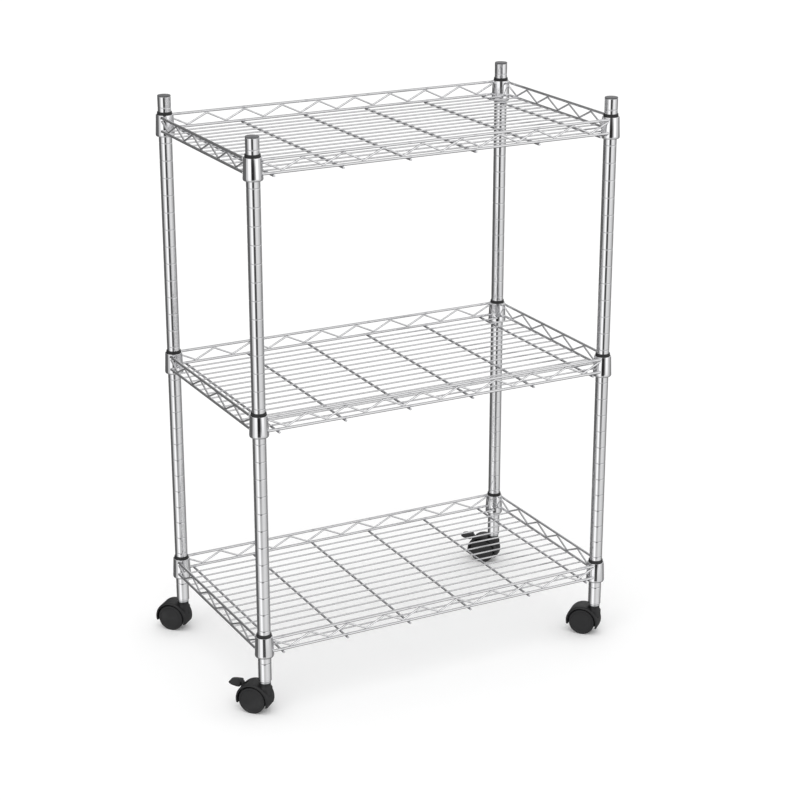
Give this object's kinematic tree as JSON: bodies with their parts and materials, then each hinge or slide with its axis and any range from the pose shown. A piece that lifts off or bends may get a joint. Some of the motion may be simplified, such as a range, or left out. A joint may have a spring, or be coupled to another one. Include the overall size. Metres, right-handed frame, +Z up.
{
  "type": "wire shelf cart",
  "caption": "Rolling wire shelf cart: chrome tray shelves with zigzag rims on grooved round posts, split sleeves, and hooded swivel casters with foot brakes.",
  "frame": {"origin": "on the floor, midway between the four posts", "axes": "+Z up; +X along the long side; the front long side faces -Y"},
  "size_m": [0.6096, 0.3667, 0.8323],
  "materials": {
    "chrome_wire": "bright plated welded wire",
    "chrome_tube": "bright plated tube with rolled ring grooves",
    "sleeve_plastic": "moulded, satin",
    "cap_plastic": "moulded, satin",
    "zinc_steel": "bright zinc plate",
    "hood_plastic": "moulded, fine grain",
    "wheel_plastic": "moulded, satin"
  },
  "bodies": {
    "cart": {"shelf_bottom": "chrome_wire", "shelf_middle": "chrome_wire", "shelf_top": "chrome_wire", "sleeve_bottom_front_left_a": "sleeve_plastic", "sleeve_bottom_front_left_b": "sleeve_plastic", "sleeve_bottom_front_right_a": "sleeve_plastic", "sleeve_bottom_front_right_b": "sleeve_plastic", "sleeve_bottom_back_left_a": "sleeve_plastic", "sleeve_bottom_back_left_b": "sleeve_plastic", "sleeve_bottom_back_right_a": "sleeve_plastic", "sleeve_bottom_back_right_b": "sleeve_plastic", "sleeve_middle_front_left_a": "sleeve_plastic", "sleeve_middle_front_left_b": "sleeve_plastic", "sleeve_middle_front_right_a": "sleeve_plastic", "sleeve_middle_front_right_b": "sleeve_plastic", "sleeve_middle_back_left_a": "sleeve_plastic", "sleeve_middle_back_left_b": "sleeve_plastic", "sleeve_middle_back_right_a": "sleeve_plastic", "sleeve_middle_back_right_b": "sleeve_plastic", "sleeve_top_front_left_a": "sleeve_plastic", "sleeve_top_front_left_b": "sleeve_plastic", "sleeve_top_front_right_a": "sleeve_plastic", "sleeve_top_front_right_b": "sleeve_plastic", "sleeve_top_back_left_a": "sleeve_plastic", "sleeve_top_back_left_b": "sleeve_plastic", "sleeve_top_back_right_a": "sleeve_plastic", "sleeve_top_back_right_b": "sleeve_plastic", "post_front_left": "chrome_tube", "post_front_right": "chrome_tube", "post_back_left": "chrome_tube", "post_back_right": "chrome_tube", "post_cap_front_left": "cap_plastic", "post_cap_front_right": "cap_plastic", "post_cap_back_left": "cap_plastic", "post_cap_back_right": "cap_plastic", "caster_stem_front_left": "zinc_steel", "caster_stem_front_right": "zinc_steel", "caster_stem_back_left": "zinc_steel", "caster_stem_back_right": "zinc_steel"},
    "caster_front_left": {"caster_hood_front_left": "hood_plastic", "axle_front_left": "zinc_steel"},
    "caster_front_right": {"caster_hood_front_right": "hood_plastic", "axle_front_right": "zinc_steel"},
    "caster_back_left": {"caster_hood_back_left": "hood_plastic", "axle_back_left": "zinc_steel"},
    "caster_back_right": {"caster_hood_back_right": "hood_plastic", "axle_back_right": "zinc_steel"},
    "wheel_front_left_a": {"wheel_front_left_a": "wheel_plastic"},
    "wheel_front_left_b": {"wheel_front_left_b": "wheel_plastic"},
    "wheel_front_right_a": {"wheel_front_right_a": "wheel_plastic"},
    "wheel_front_right_b": {"wheel_front_right_b": "wheel_plastic"},
    "wheel_back_left_a": {"wheel_back_left_a": "wheel_plastic"},
    "wheel_back_left_b": {"wheel_back_left_b": "wheel_plastic"},
    "wheel_back_right_a": {"wheel_back_right_a": "wheel_plastic"},
    "wheel_back_right_b": {"wheel_back_right_b": "wheel_plastic"},
    "brake_front_left": {"brake_lever_front_left": "hood_plastic"},
    "brake_back_right": {"brake_lever_back_right": "hood_plastic"}
  },
  "joints": [
    {"name": "swivel_front_left", "type": "hinge", "parent": "cart", "child": "caster_front_left", "pos_m": [-0.2763, -0.1535, 0.0464], "axis": [0, 0, 1], "continuous": true},
    {"name": "swivel_front_right", "type": "hinge", "parent": "cart", "child": "caster_front_right", "pos_m": [0.2763, -0.1535, 0.0464], "axis": [0, 0, 1], "continuous": true},
    {"name": "swivel_back_left", "type": "hinge", "parent": "cart", "child": "caster_back_left", "pos_m": [-0.2763, 0.1535, 0.0464], "axis": [0, 0, 1], "continuous": true},
    {"name": "swivel_back_right", "type": "hinge", "parent": "cart", "child": "caster_back_right", "pos_m": [0.2763, 0.1535, 0.0464], "axis": [0, 0, 1], "continuous": true},
    {"name": "roll_front_left_a", "type": "hinge", "parent": "caster_front_left", "child": "wheel_front_left_a", "pos_m": [-0.28724, -0.14156, 0.02], "axis": [-0.7373, -0.6756, 0], "continuous": true},
    {"name": "roll_front_left_b", "type": "hinge", "parent": "caster_front_left", "child": "wheel_front_left_b", "pos_m": [-0.28724, -0.14156, 0.02], "axis": [-0.7373, -0.6756, 0], "continuous": true},
    {"name": "roll_front_right_a", "type": "hinge", "parent": "caster_front_right", "child": "wheel_front_right_a", "pos_m": [0.26536, -0.14156, 0.02], "axis": [-0.7373, -0.6756, 0], "continuous": true},
    {"name": "roll_front_right_b", "type": "hinge", "parent": "caster_front_right", "child": "wheel_front_right_b", "pos_m": [0.26536, -0.14156, 0.02], "axis": [-0.7373, -0.6756, 0], "continuous": true},
    {"name": "roll_back_left_a", "type": "hinge", "parent": "caster_back_left", "child": "wheel_back_left_a", "pos_m": [-0.28724, 0.16544, 0.02], "axis": [-0.7373, -0.6756, 0], "continuous": true},
    {"name": "roll_back_left_b", "type": "hinge", "parent": "caster_back_left", "child": "wheel_back_left_b", "pos_m": [-0.28724, 0.16544, 0.02], "axis": [-0.7373, -0.6756, 0], "continuous": true},
    {"name": "roll_back_right_a", "type": "hinge", "parent": "caster_back_right", "child": "wheel_back_right_a", "pos_m": [0.26536, 0.16544, 0.02], "axis": [-0.7373, -0.6756, 0], "continuous": true},
    {"name": "roll_back_right_b", "type": "hinge", "parent": "caster_back_right", "child": "wheel_back_right_b", "pos_m": [0.26536, 0.16544, 0.02], "axis": [-0.7373, -0.6756, 0], "continuous": true},
    {"name": "brake_front_left", "type": "hinge", "parent": "caster_front_left", "child": "brake_front_left", "pos_m": [-0.29657, -0.13138, 0.031], "axis": [-0.7373, -0.6756, 0], "range_deg": [0, 18]},
    {"name": "brake_back_right", "type": "hinge", "parent": "caster_back_right", "child": "brake_back_right", "pos_m": [0.25603, 0.17562, 0.031], "axis": [-0.7373, -0.6756, 0], "range_deg": [0, 18]}
  ]
}
